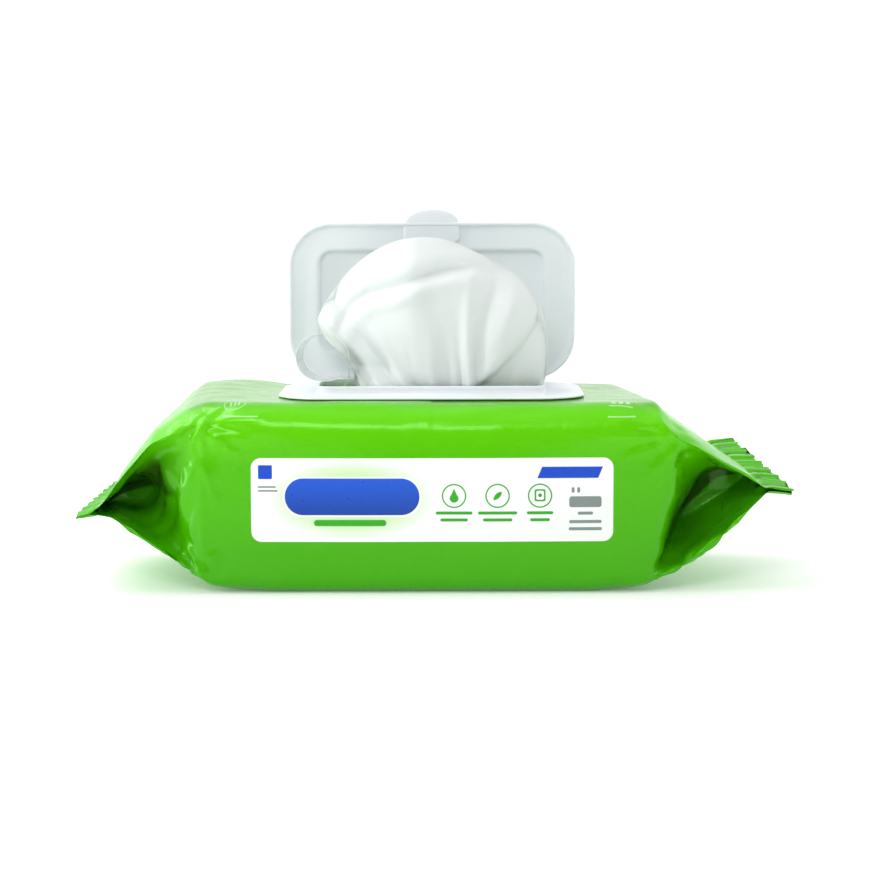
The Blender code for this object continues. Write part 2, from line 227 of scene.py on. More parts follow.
def grid_faces(rows, columns, wrap_rows=False, wrap_columns=False):
    """Quads of a grid whose points are stored row by row, as lists of four numbers."""
    i = np.arange(rows if wrap_rows else rows - 1)[:, None]
    j = np.arange(columns if wrap_columns else columns - 1)[None, :]
    below, right = (i + 1) % rows, (j + 1) % columns
    corners = [i * columns + j, i * columns + right, below * columns + right, below * columns + j]
    return np.stack(np.broadcast_arrays(*corners), axis=-1).reshape(-1, 4).tolist()


def capped_faces(rings, columns):
    """Quads of a tube of closed rings, and one face over each end."""
    last = (rings - 1) * columns
    caps = [list(range(columns)), list(range(last, last + columns))]
    return grid_faces(rings, columns, wrap_columns=True) + caps


def make_piece(name, points, faces, finish, body, smooth_angle=180.0):
    """A mesh piece from points in millimetres and faces, turned outwards and shaded smooth.

    Edges sharper than the angle in degrees stay sharp.
    """
    mesh = bpy.data.meshes.new(name)
    mesh.from_pydata((points.reshape(-1, 3) * MM).tolist(), [], faces)
    shell = bmesh.new()
    shell.from_mesh(mesh)
    bmesh.ops.recalc_face_normals(shell, faces=shell.faces)
    shell.to_mesh(mesh)
    shell.free()
    mesh.shade_smooth()
    if smooth_angle < 180:
        mesh.set_sharp_from_angle(angle=np.radians(smooth_angle))
    mesh.materials.append(finish)
    piece = bpy.data.objects.new(name, mesh)
    bpy.context.scene.collection.objects.link(piece)
    if body:
        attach(piece, body)
    return piece


def thicken(piece, thickness):
    """Gives an open sheet its thickness in millimetres, half to each side."""
    shell = piece.modifiers.new("Thickness", "SOLIDIFY")
    shell.thickness = thickness * MM
    shell.offset = 0


def rounded_outline(size, radius, steps=14):
    """Points round a rectangle with arc corners, and a few along each side."""
    half = np.array(size) / 2 - radius
    points = []
    for quarter, signs in enumerate(((1, 1), (-1, 1), (-1, -1), (1, -1))):
        angles = (quarter + np.linspace(0, 1, steps + 1)) * np.pi / 2
        corner = np.array(signs) * half
        points.append(corner + radius * np.stack([np.cos(angles), np.sin(angles)], 1))
    ring = []
    for this, following in zip(points, points[1:] + points[:1]):
        between = np.linspace(this[-1], following[0], 8)[1:-1]
        ring += [this, between]
    return np.concatenate(ring)


def ring_rows(profile, size, radius, centre):
    """Rows of points: each (inset, height) of the profile drawn round a rounded rectangle."""
    rows = []
    for inset, height in profile:
        inner = (size[0] - 2 * inset, size[1] - 2 * inset)
        outline = rounded_outline(inner, max(radius - inset, 0.3)) + np.array(centre)
        rows.append(np.column_stack([outline, np.full(len(outline), height)]))
    return np.array(rows)


def smooth_profile(corners, rounding=0.35, steps=5):
    """A profile's corners, each cut back and replaced by a short quadratic curve."""
    corners = np.array(corners, float)
    rows = [corners[0]]
    for before, here, after in zip(corners, corners[1:], corners[2:]):
        gap_a, gap_b = np.linalg.norm(before - here), np.linalg.norm(after - here)
        a = here + (before - here) * min(0.45, rounding / gap_a)
        b = here + (after - here) * min(0.45, rounding / gap_b)
        for t in np.linspace(0, 1, steps):
            rows.append((1 - t) ** 2 * a + 2 * t * (1 - t) * here + t**2 * b)
    return np.array(rows + [corners[-1]])


# ---------------------------------------------------------------- materials


def arithmetic(operation, swapped=False):
    """A method of Sock that adds a Math node, with its two values swapped for a reflected form."""

    def method(self, other):
        return self.math(operation, *((other, self) if swapped else (self, other)))

    return method


class Sock:
    """A node socket. Arithmetic on it adds Math nodes to its tree."""

    def __init__(self, tree, socket):
        self.tree, self.socket = tree, socket

    def math(self, operation, *values):
        node = self.tree.nodes.new("ShaderNodeMath")
        node.operation = operation
        for slot, value in zip(node.inputs, values):
            if isinstance(value, Sock):
                self.tree.links.new(value.socket, slot)
            else:
                slot.default_value = float(value)
        return Sock(self.tree, node.outputs[0])

    __add__, __radd__ = arithmetic("ADD"), arithmetic("ADD", True)
    __sub__, __rsub__ = arithmetic("SUBTRACT"), arithmetic("SUBTRACT", True)
    __mul__, __rmul__ = arithmetic("MULTIPLY"), arithmetic("MULTIPLY", True)
    __truediv__ = arithmetic("DIVIDE")
    least, most = arithmetic("MINIMUM"), arithmetic("MAXIMUM")

    def __abs__(self):
        return self.math("ABSOLUTE", self)

    def root(self):
        return self.math("SQRT", self)

    def sine(self):
        return self.math("SINE", self)

    def clamp(self):
        return self.least(1.0).most(0.0)


class Nodes:
    """Short ways to add nodes to a tree."""

    def __init__(self, tree):
        self.tree = tree

    def node(self, kind, settings=None, inputs=None, output=0):
        """Adds a node with its settings and the values or links of its sockets.

        Returns one output, by number or name, or all of them where the output is None.
        """
        made = self.tree.nodes.new(kind)
        for key, value in (settings or {}).items():
            setattr(made, key, value)
        for key, value in (inputs or {}).items():
            if isinstance(value, Sock):
                self.tree.links.new(value.socket, made.inputs[key])
            else:
                made.inputs[key].default_value = value
        if output is None:
            return [Sock(self.tree, socket) for socket in made.outputs]
        return Sock(self.tree, made.outputs[output])

    def axes(self, vector):
        """The x, y and z of a vector."""
        return self.node("ShaderNodeSeparateXYZ", None, {0: vector}, output=None)


class Finish(Nodes):
    """A material on one Principled BSDF."""

    def __init__(self, name, colour, roughness, **fixed):
        self.material = bpy.data.materials.new(name)
        self.material.use_nodes = True
        super().__init__(self.material.node_tree)
        self.shader = self.tree.nodes["Principled BSDF"]
        self.shader.inputs["Base Color"].default_value = (*colour[:3], 1)
        self.shader.inputs["Roughness"].default_value = roughness
        for key, value in fixed.items():
            self.shader.inputs[key.replace("_", " ")].default_value = value

    def place(self):
        """The point's place on the object in millimetres."""
        metres = self.node("ShaderNodeTexCoord", output="Object")
        inputs = {0: metres, "Scale": 1 / MM}
        return self.node("ShaderNodeVectorMath", {"operation": "SCALE"}, inputs)

    def noise(self, vector, scale, detail=2.0, stretch=(1, 1, 1), rough=0.5):
        """Noise from 0 to 1 over a vector, with a stretch for each axis."""
        inputs = {0: vector, 1: stretch}
        spread = self.node("ShaderNodeVectorMath", {"operation": "MULTIPLY"}, inputs)
        values = {"Vector": spread, "Scale": scale, "Detail": detail, "Roughness": rough}
        return self.node("ShaderNodeTexNoise", None, values)

    def mix(self, mask, below, above):
        """A colour between two, by a mask from 0 to 1."""
        inputs = {0: mask, 6: below, 7: above}
        return self.node("ShaderNodeMix", {"data_type": "RGBA"}, inputs, output=2)

    def bump(self, height, distance, strength=1.0):
        """Feeds the shader's normal from a height in units of the distance, in metres."""
        values = {"Height": height, "Distance": distance, "Strength": strength}
        normal = self.node("ShaderNodeBump", None, values)
        self.tree.links.new(normal.socket, self.shader.inputs["Normal"])

    def feed(self, name, value):
        self.tree.links.new(value.socket, self.shader.inputs[name])


# The width in millimetres over which a printed edge fades.
INK_EDGE = 0.18


def box_mask(x, z, centre, half, radius, slant=0.0):
    """1 inside a rounded box, by the distance past its inner rectangle less the radius."""
    z = z - centre[1]
    x = x - centre[0] - slant * z
    dx = (abs(x) - (half[0] - radius)).most(0.0)
    dz = (abs(z) - (half[1] - radius)).most(0.0)
    distance = (dx * dx + dz * dz).root() - radius
    return (0.5 - distance / INK_EDGE).clamp()


def bars_mask(x, z, bars):
    """1 inside any of the bars: middle across and up, half sizes and corner radius of each."""
    masks = [box_mask(x, z, bar[:2], bar[2:4], bar[4]) for bar in bars]
    return functools.reduce(Sock.most, masks)


def ellipse_reach(x, z, centre, half=(1, 1)):
    """The distance from a centre in units of the half sizes."""
    dx, dz = (x - centre[0]) / half[0], (z - centre[1]) / half[1]
    return (dx * dx + dz * dz).root()


def disc_mask(x, z, centre, radius):
    """1 inside a circle."""
    return (0.5 - (ellipse_reach(x, z, centre) - radius) / INK_EDGE).clamp()


def ring_mask(x, z, centre, radius, width):
    """1 on a ring of a width."""
    distance = abs(ellipse_reach(x, z, centre) - radius)
    return (0.5 - (distance - width / 2) / INK_EDGE).clamp()


WHITE = (0.90, 0.92, 0.91, 1)
BLUE = (0.004, 0.045, 0.56, 1)
LEAF = (0.03, 0.36, 0.02, 1)
GREY = (0.22, 0.24, 0.26, 1)
MARK = (0.70, 0.85, 0.66, 1)

# The print, in millimetres. The pill's middle and the round badges' level, radius and places,
# each with half the width of the bars under it.
PILL = (-37, 46.6)
BADGE_LEVEL, BADGE_RADIUS = 47.0, 5.4
BADGES = ((10.8, 8.6), (31.2, 9.2), (51.1, 6.2))
# Bars: middle across and up, half sizes and corner radius. The marks on the top go by x and y.
GREY_BARS = (
    (-77.0, 51.2, 4.2, 0.4, 0.3), (-76.6, 49.4, 4.6, 0.4, 0.3), (72.4, 44.0, 7.6, 2.6, 1.2),
    (72.4, 38.6, 3.6, 0.75, 0.6), (72.4, 34.6, 7.6, 0.75, 0.6), (72.4, 31.2, 7.8, 0.75, 0.6),
    (66.6, 49.6, 0.7, 1.3, 0.6), (69.2, 49.6, 0.7, 1.3, 0.6),
)
TOP_MARKS = (
    (-94.4, -51.5, 0.35, 1.9, 0.2), (-92.4, -51.5, 0.35, 1.9, 0.2), (-90.6, -51.5, 0.35, 1.9, 0.2),
    (86.2, -51.0, 1.0, 1.5, 0.5), (89.6, -51.0, 1.0, 1.5, 0.5), (93.0, -51.0, 1.0, 1.5, 0.5),
    (89.5, -54.6, 5.6, 0.4, 0.3),
)
FRONT_MARKS = ((-89.5, 84.2, 8.5, 0.3, 0.25), (89.5, 83.6, 6.6, 0.3, 0.25))


def film_finish(sizes):
    """Glossy green film with a white panel of plain shapes, small white marks and crimped ends, its
    green carrying painted shade and light.
    """
    green = (*sizes.film_green, 1)
    finish = Finish("printed_film", green, 0.2, Coat_Weight=0.16, Coat_Roughness=0.05)
    finish.shader.inputs["Specular Tint"].default_value = (0.42, 1.0, 0.22, 1)
    place = finish.place()
    x, y, z = finish.axes(place)
    # Painted shade and light: the green is darker low down, lighter high on the front and darker
    # over the top panel; the cloudy noise adds a random tone to the low shade.
    painted_shade_green = (green[0] * 0.62, green[1] * 0.76, 0, 1)
    painted_light_green = (green[0] * 1.35, green[1] * 1.17, 0, 1)
    top = (green[0] * 0.9, green[1] * 0.7, 0, 1)
    cloudy = finish.noise(place, 0.018, 2.0)
    painted_shade_and_mottle = ((z - 18) / 68 + (cloudy - 0.5) * 0.35).clamp()
    colour = finish.mix(painted_shade_and_mottle, painted_shade_green, green)
    colour = finish.mix(((z - 62) / 20).clamp(), colour, painted_light_green)
    # Painted shade over the top panel, back from its front edge.
    colour = finish.mix(((z - 84) / 4).clamp() * ((y + 58) / 12).clamp(), colour, top)
    # Painted shade: the green turns near black on the upper faces of the side tucks, by the mesh's
    # recess attribute.
    recess = finish.node("ShaderNodeAttribute", {"attribute_name": "recess"}, output="Fac")
    colour = finish.mix(recess * 0.9, colour, (0.020, 0.050, 0.006, 1))

    front = ((-52 - y) / 2).clamp()
    panel = box_mask(x, z, (0.5, 45.0), (85.0, 19.8), 4.8) * front
    # Painted shade: the white panel greys towards its lower right.
    shade = ((x - 35) / 60).clamp() * ((52 - z) / 40).clamp() * 0.22
    paper = finish.mix(shade, WHITE, (0.62, 0.65, 0.67, 1))
    glow_reach = ellipse_reach(x, z, (-37.5, 45.4), (39, 19.0))
    glow = ((1.02 - glow_reach) * 2.4).clamp()
    paper = finish.mix(glow * 0.62, paper, (0.36, 0.74, 0.10, 1))
    banner_edge = box_mask(x, z, PILL, (32.6, 9.6), 9.4)
    banner = box_mask(x, z, PILL, (31.6, 8.7), 8.6)
    paper = finish.mix(banner_edge, paper, WHITE)
    sheen = ((z - 38) / 18).clamp()
    blue_fill = finish.mix(sheen, (0.003, 0.025, 0.36, 1), (0.006, 0.075, 0.68, 1))
    paper = finish.mix(banner, paper, blue_fill)

    blue = box_mask(x, z, (-77.8, 58.2), (3.3, 3.3), 0.6)
    blue = blue.most(box_mask(x, z, (65.2, 57.9), (14.3, 2.7), 0.3, slant=0.42))
    paper = finish.mix(blue, paper, BLUE)

    ink = box_mask(x, z, (-38, 34.2), (17, 1.5), 1.4)
    for centre, wide in BADGES:
        ink = ink.most(ring_mask(x, z, (centre, BADGE_LEVEL), BADGE_RADIUS, 0.7))
        ink = ink.most(box_mask(x, z, (centre, 38.9), (wide, 0.75), 0.7))
        ink = ink.most(box_mask(x, z, (centre, 35.6), (wide * 0.75, 0.75), 0.7))
    drop = disc_mask(x, z, (10.8, 45.9), 2.1)
    spike_width = ((50.6 - z) / 4.4).clamp() * 1.9
    spike = (0.5 - (abs(x - 10.8) - spike_width) / INK_EDGE).clamp() * ((z - 46.2) * 4).clamp()
    ink = ink.most(drop.most(spike * ((50.6 - z) * 4).clamp()))
    leaf = disc_mask(x, z, (29.2, 49.0), 4.0).least(disc_mask(x, z, (33.2, 45.0), 4.0))
    ink = ink.most(leaf)
    shield = box_mask(x, z, (51.1, 47.2), (2.6, 2.9), 1.0)
    hollow = box_mask(x, z, (51.1, 47.2), (1.8, 2.1), 0.7)
    ink = ink.most(shield - hollow).most(disc_mask(x, z, (51.1, 47.2), 0.9))
    paper = finish.mix(ink, paper, LEAF)

    paper = finish.mix(bars_mask(x, z, GREY_BARS), paper, GREY)
    colour = finish.mix(panel, colour, paper)

    circle = abs(ellipse_reach(x, y, (-92.5, -51.5), (5.0, 4.6)) - 1) - 0.04
    marks = (0.5 - circle / 0.05).clamp().most(bars_mask(x, y, TOP_MARKS)) * ((z - 80) / 2).clamp()
    marks = marks.most(bars_mask(x, z, FRONT_MARKS) * front)
    colour = finish.mix(marks * 0.5, colour, MARK)
    finish.feed("Base Color", colour)

    fin = ((abs(x) - (FIN_START - 0.5)) / 1.5).clamp()
    ribs = (y * (4 * np.pi / TOOTH)).sine() * 0.5 + 0.5
    crinkle = finish.noise(place, 0.16, 3.0, (1, 1, 1.3), 0.55)
    fine = finish.noise(place, 0.9, 2.0)
    height = (crinkle * 0.55 + fine * 0.04) * (1 - panel * 0.75) + ribs * fin * 0.5
    finish.bump(height, 0.0009, 0.55)
    finish.feed("Roughness", 0.17 + crinkle * 0.14 + panel * 0.06)
    return finish.material


def plastic_finish(sizes):
    """Satin white moulded plastic with a faint cool tint."""
    finish = Finish(
        "white_plastic", sizes.plastic_tint, 0.38, Subsurface_Weight=0.12, Specular_IOR_Level=0.45
    )
    finish.shader.inputs["Subsurface Radius"].default_value = (0.004, 0.004, 0.004)
    finish.shader.inputs["Subsurface Scale"].default_value = 0.5
    place = finish.place()
    cloudy = finish.noise(place, 0.03, 2.0)
    tint = (*sizes.plastic_tint, 1)
    cool = (tint[0] * 0.955, tint[1] * 0.985, tint[2] * 0.975, 1)
    finish.feed("Base Color", finish.mix(cloudy, tint, cool))
    grain = finish.noise(place, 2.6, 2.0)
    finish.bump(grain, 0.00006, 0.5)
    finish.feed("Roughness", 0.33 + grain * 0.1)
    return finish.material


def wipe_finish(sizes):
    """Soft white nonwoven: a fine cross-laid fibre bump over gentle pillowing."""
    finish = Finish("wipe_cloth", sizes.wipe_white, 0.9, Subsurface_Weight=0.25, Sheen_Weight=0.15)
    finish.shader.inputs["Subsurface Radius"].default_value = (0.006, 0.006, 0.006)
    finish.shader.inputs["Subsurface Scale"].default_value = 0.5
    place = finish.place()
    fibres = finish.noise(place, 1.3, 4.0, (1.0, 1.0, 3.2), 0.65)
    cross = finish.noise(place, 1.1, 4.0, (3.0, 3.0, 0.9), 0.65)
    mottle = finish.noise(place, 0.22, 3.0)
    finish.bump(fibres * 0.5 + cross * 0.5 + mottle * 0.8, 0.0005, 0.55)
    white = (*sizes.wipe_white, 1)
    shade = tuple(c * 0.93 for c in white[:3]) + (1,)
    finish.feed("Base Color", finish.mix((fibres * 0.6 + mottle * 0.4).clamp(), shade, white))
    finish.feed("Roughness", 0.82 + mottle * 0.14)
    return finish.material


def clear_finish(sizes):
    """Clear glossy label film with a thin milky glue side."""
    finish = Finish("clear_film", (0.93, 0.97, 0.96), 0.12, Coat_Weight=0.5, Coat_Roughness=0.05)
    place = finish.place()
    streaks = finish.noise(place, 0.08, 3.0, (1, 0.3, 1))
    finish.feed("Alpha", sizes.label_alpha + streaks * 0.22)
    finish.feed("Roughness", 0.08 + streaks * 0.14)
    finish.bump(streaks, 0.0004, 0.3)
    return finish.material


def floor_finish():
    """Plain pale floor."""
    finish = Finish("pale_floor", (0.94, 0.94, 0.94), 0.8, Specular_IOR_Level=0.1)
    finish.shader.inputs["Emission Color"].default_value = (1, 1, 1, 1)
    finish.shader.inputs["Emission Strength"].default_value = 0.13
    return finish.material


# ---------------------------------------------------------------- pieces


def pouch_section(end, side_steps=28, corner_steps=12, flat_steps=112):
    """The section from the front's middle, over the top, and back under the base.

    On the body the corners are quarter circles. At an end they are slopes that meet the
    sides at a fold.
    """
    t = np.linspace(0, 1, corner_steps, endpoint=False)
    curve = (t, 1 - (1 - t) ** 1.6) if end else (1 - np.cos(t * np.pi / 2), np.sin(t * np.pi / 2))

    def half(level, sign, wide, drop):
        turn = level - sign * drop
        rise = np.linspace(FILM_TOP / 2 + sign * 0.9, turn, side_steps, endpoint=False)
        flat = np.linspace(-SIDE + wide, SIDE - wide, flat_steps)
        y = np.concatenate([np.full(side_steps, -SIDE), -SIDE + wide * curve[0], flat])
        z = np.concatenate([rise, turn + sign * drop * curve[1], np.full(flat_steps, level)])
        keep = side_steps + corner_steps
        return np.concatenate([y, -y[:keep][::-1]]), np.concatenate([z, z[:keep][::-1]])

    fold_drop = FILM_TOP * (1 - FOLD_SHARE)
    top_y, top_z = half(FILM_TOP, 1, 17.0 if end else 13.0, fold_drop if end else 13.0)
    base_y, base_z = half(0.0, -1, 3.0 if end else 8.0, 1.4 if end else 8.0)
    return np.concatenate([top_y, base_y[::-1]]), np.concatenate([top_z, base_z[::-1]])


def side_tuck(reach, share, right):
    """How far the side is pushed in by a shallow turn and then a V-shaped fold.

    Also returns the V itself and how much shade is painted on its upper face, both from 0 to 1.
    """
    ease = soft_line(share, ((0, 0), (0.07, 1), (0.78, 1), (FOLD_SHARE, 0), (1, 0)), 0.02)
    left_depth = 0.5 * ramp(reach - 108, 0.5) * ease
    left_deep = 2.1 * ramp(reach - 107.5 - 27 * share / FOLD_SHARE, 0.9)
    right_depth = 0.6 * ramp(reach - 102 - 12 * share / FOLD_SHARE, 0.6) * ease
    right_deep = 2.4 * ramp(reach - soft_line(share, RIGHT_FOLD, 0.03), 0.8)
    valley = np.where(right, soft_line(reach, RIGHT_VALLEY), LEFT_VALLEY)
    rise, fall = share / valley, (FOLD_SHARE - share) / (FOLD_SHARE - valley)
    vee = np.maximum(rise - ramp(rise - fall, 0.03), 0)
    depth = np.where(right, right_depth, left_depth) + np.where(right, right_deep, left_deep) * vee
    past = share - valley
    # Painted shade on the fold's upper face, strongest where the tuck is deep.
    recess = smooth_step(past, -0.02, 0.05) * smooth_step(depth, 3, 16)
    recess = recess * (1 - smooth_step(past, np.where(right, 0.10, 0.24), 0.46))
    return depth - ramp(depth - 46, 5), vee, recess


def panel_levels(reach, rear, right):
    """Heights of the base and top panels, by distance from the middle and share of the depth."""

    def between(lines, x=reach, rounding=1.2):
        front, back = (soft_line(x, line, rounding) for line in lines)
        return front + (back - front) * rear

    base = np.where(right, between(RIGHT_BASE), between(LEFT_BASE))
    ridge, seam = 109 - 17 * rear, 49.5 + 8.5 * rear
    fallen = between(RIGHT_FALL, (reach - ridge) / (FIN_START - ridge), 0.025)
    past = np.maximum(reach - FIN_START, 0)
    right_top = 89.4 - (89.4 - seam) * fallen + (0.25 * rear - 0.15) * past
    return base, np.where(right, right_top, between(LEFT_TOP))


def pouch_points(wrinkle):
    """The pouch's grid of points, and how much shade is painted on each one in a tuck, from 0 to 1.

    Each station scales a section between the base and top panels' heights, pushes its sides
    out along the body and tucks them in towards the seals. Ridges along the creases and
    slow waves then move the film along its normals.
    """
    left_fin = np.linspace(LEFT_TIP, FIN_START, 13, endpoint=False)
    left_end = np.linspace(FIN_START, BODY_END, 52, endpoint=False)
    body = np.linspace(-BODY_END, BODY_END, 124)
    right_end = np.linspace(BODY_END, FIN_START + 2, 54)[1:]
    right_fin = np.linspace(FIN_START + 2, RIGHT_TIP, 14)[1:]
    x = np.concatenate([-left_fin, -left_end, body, right_end, right_fin])[:, None]
    reach, right = np.abs(x), x > 0
    blend = smooth_step(reach, 88, 110)
    y0, z0 = (a + (b - a) * blend for a, b in zip(pouch_section(False), pouch_section(True)))
    share = z0 / FILM_TOP
    tuck, vee, recess = side_tuck(reach, share, right)
    body_share = np.clip(reach / 107, 0, 1)
    swell = 4.0 * (1 - body_share**2.4) * np.sin(np.pi * np.clip(share, 0, 1)) ** 0.8
    y = y0 + np.where(y0 > 0, 1.0, -1.0) * (swell - tuck)
    rear = np.clip((y + SIDE) / (2 * SIDE), 0, 1)
    base, top = panel_levels(reach, rear, right)
    z = base + (top - base) * share
    fin = smooth_step(reach, 156, 161)
    z = z + fin * (1.5 * np.sin(y * 0.42 + np.sign(x)) + 0.25 * np.sin(y * (2 * np.pi / TOOTH)))
    pull = np.where(right, RIGHT_REAR_PULL, 1.0) * rear * smooth_step(reach, 100, FIN_START)
    tip = np.where(right, RIGHT_TIP, LEFT_TIP)
    teeth = 1.5 * np.abs((y / TOOTH) % 1 - 0.5) * 2 * smooth_step(reach, tip - 2.2, tip)
    x_all = x - np.sign(x) * (pull + teeth)

    points = np.stack(np.broadcast_arrays(x_all, y, z), axis=2)
    normals = grid_normals(points)
    middle_row = len(x) // 2
    if (normals[middle_row, :, 2] * (z0[middle_row] - FILM_TOP / 2)).sum() < 0:
        normals = -normals
    px, py, pz = np.moveaxis(points, 2, 0)
    on_body = 1 - smooth_step(reach, 148, 157)
    off_frame = np.clip(smooth_step(np.abs(px), 66, 84) + smooth_step(np.abs(py - 2), 40, 54), 0, 1)
    free = np.where(pz < 82, 1.0, off_frame) * smooth_step(pz, 0.5, 7) * on_body
    shift = 0.4 * waviness(points, ripples(4, 9, 36, 90))
    edge = np.clip(smooth_step(np.abs(pz - 45), 28, 42) + smooth_step(reach, 86, 106), 0, 1)
    shift += (0.03 + 0.1 * edge) * waviness(points, ripples(9, 12, 11, 26))
    gathers = np.sin(py * (2 * np.pi / 19) + 2.2 * np.sin(py * 0.06 + px * 0.03) + 0.7)
    gathers += 0.5 * np.sin(py * (2 * np.pi / 8.3) + 1.5 * np.sin(py * 0.11) + 0.06 * px)
    shift += 0.32 * gathers * smooth_step(reach, 120, 152) * np.where(np.abs(vee) < 0.05, 1, 0.25)
    crumple = np.abs(waviness(points, ripples(31, 5, 24, 44))) - 0.6
    shift += 1.5 * crumple * smooth_step(reach, 108, 122) * smooth_step(0.92 - share, 0, 0.1)
    facets = np.abs(waviness(points, ripples(41, 4, 9, 17))) - 0.5
    for corner, spread in CORNERS:
        far = np.linalg.norm(points - np.array(corner, float), axis=2)
        shift += 1.3 * facets * np.exp(-((far / spread) ** 2))
    for start, end, width, height in CREASES:
        a, b = np.array(start, float), np.array(end, float)
        t = np.clip((points - a) @ (b - a) / ((b - a) @ (b - a)), 0, 1)
        distance = np.linalg.norm(points - (a + t[:, :, None] * (b - a)), axis=2)
        taper = np.sin(np.pi * np.clip(t * 0.9 + 0.1, 0, 1)) ** 0.5
        shift += height * taper * np.exp(-((distance / width) ** 2))
    points = points + normals * (shift * free * wrinkle)[:, :, None]

    # The mouth: points near its outline move onto it, and those inside drop to a shelf.
    on_top = z0[middle_row] > FILM_TOP - 0.1
    flat = points[:, on_top, :2]
    corner = np.maximum(np.abs(flat) - (MOUTH_HALF - MOUTH_RADIUS), 0)
    far = np.linalg.norm(corner, axis=2)
    distance = far - MOUTH_RADIUS
    direction = np.sign(flat) * corner / np.maximum(far, 1e-9)[:, :, None]
    near = (np.abs(distance) < 0.85) & (far > 1)
    flat = np.where(near[:, :, None], flat - direction * distance[:, :, None], flat)
    points[:, on_top, :2] = flat
    inside = np.where(near, 0, np.maximum(-distance, 0))
    points[:, on_top, 2] -= MOUTH_DEPTH * smooth_step(inside, 0, 2.6)
    return points, recess


def build_pouch(sizes):
    """The film pouch, each tip closed by a strip of faces from front to back."""
    points, recess = pouch_points(sizes.wrinkle)
    rows, columns = points.shape[:2]
    faces = grid_faces(rows, columns, wrap_columns=True)
    for start in (0, (rows - 1) * columns):
        for i in range(columns // 2 - 1):
            far_side = start + columns - 1 - i
            faces.append((start + i, start + i + 1, far_side - 1, far_side))
    pouch = make_piece("film_pouch_skin", points, faces, film_finish(sizes), "pack")
    # The recess attribute holds the shade painted on the upper faces of the side tucks.
    layer = pouch.data.attributes.new("recess", "FLOAT", "POINT")
    layer.data.foreach_set("value", np.broadcast_to(recess, (rows, columns)).ravel())
    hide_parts("film_pouch")


def build_stack(sizes, cloth):
    """The block of folded wipes: a superellipse plan whose sides step in and out by layers."""
    columns = 160
    plan = np.linspace(0, 2 * np.pi, columns, endpoint=False)
    half_x, half_y = 99.0, 56.0
    ring_x = half_x * np.sign(np.cos(plan)) * np.abs(np.cos(plan)) ** 0.22
    ring_y = half_y * np.sign(np.sin(plan)) * np.abs(np.sin(plan)) ** 0.22
    levels = np.linspace(STACK_LOW[2] + 2.5, STACK_HIGH[2] - 0.6, 60)
    layer = 0.5 * np.abs(np.sin(np.linspace(0, 30 * np.pi, 60)))
    scale = np.concatenate([[0.02, 0.5, 0.9, 0.975], 1 - layer / 60, [0.975, 0.9, 0.5, 0.02]])
    z = np.concatenate([np.full(4, levels[0] - 0.3), levels, np.full(4, levels[-1] + 0.3)])
    rings = (scale[:, None] * ring_x, scale[:, None] * ring_y, z[:, None])
    points = np.stack(np.broadcast_arrays(*rings), axis=2)
    faces = capped_faces(len(z), columns)
    stack = make_piece("folded_wipes_block", points, faces, cloth, "pack")
    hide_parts("folded_wipes")


# The drawn wipe's outline from its left foot over the crest to its right foot: x and height.
HOOD = ((-37, 93), (-38.5, 99), (-40.5, 106), (-48, 112), (-54.5, 117), (-57, 124), (-54.5, 131),
        (-50, 138), (-43, 147), (-35, 154.5), (-26, 160.5), (-17, 164.4), (-8, 166), (2, 165.9),
        (12, 163.4), (22, 158.8), (32, 153.6), (42, 147.2), (49, 139.5), (53.5, 131), (56.2, 121),
        (57, 110), (56.5, 100), (54, 92))
# The line of the fold across the front, and the edge of the corner that hangs over at the right.
FRONT_FOLD = ((-47, 112), (-44, 122), (-38, 131.5), (-30, 137), (-18, 140), (-4, 145.5), (8, 148.6),
              (22, 149.6), (38, 146), (50, 138))
CORNER_EDGE = ((10, 88), (22, 95.5), (31, 103), (40, 112), (48, 123), (53, 134))
# The height of the wipe's feet inside the mouth.
FOOT_LEVEL = 85.0
# Pleats of the wipe: place across from -1 to 1, width, how far each stands out, front height
# where it is strongest and how far it spreads in height.
PLEATS = (
    (-0.85, 0.045, 2.4, 122, 34), (-0.72, 0.035, -3.0, 126, 34), (-0.61, 0.045, 3.0, 122, 40),
    (-0.49, 0.036, -2.6, 116, 38), (-0.38, 0.055, 1.8, 110, 34), (-0.22, 0.050, -0.7, 98, 24),
    (-0.08, 0.060, 0.6, 104, 30), (0.05, 0.040, -0.6, 98, 22), (0.15, 0.030, -1.1, 96, 18),
    (0.235, 0.036, 2.3, 108, 34), (0.335, 0.040, -2.0, 116, 34), (0.46, 0.070, 2.0, 130, 28),
    (0.62, 0.060, -1.0, 124, 30), (0.78, 0.060, 0.8, 116, 30),
)


def line_distance(x, z, line):
    """Signed distance in the x-z plane from a line of points: positive above it or to its left."""
    best = np.full(np.shape(x), 1e9)
    signed = np.zeros(np.shape(x))
    knots = np.array(line, float)
    for a, b in zip(knots, knots[1:]):
        along = b - a
        t = np.clip(((x - a[0]) * along[0] + (z - a[1]) * along[1]) / (along @ along), 0, 1)
        dx, dz = x - a[0] - t * along[0], z - a[1] - t * along[1]
        distance = np.hypot(dx, dz)
        side = np.where(along[0] * dz - along[1] * dx > 0, 1.0, -1.0)
        signed = np.where(distance < best, side * distance, signed)
        best = np.minimum(best, distance)
    return signed


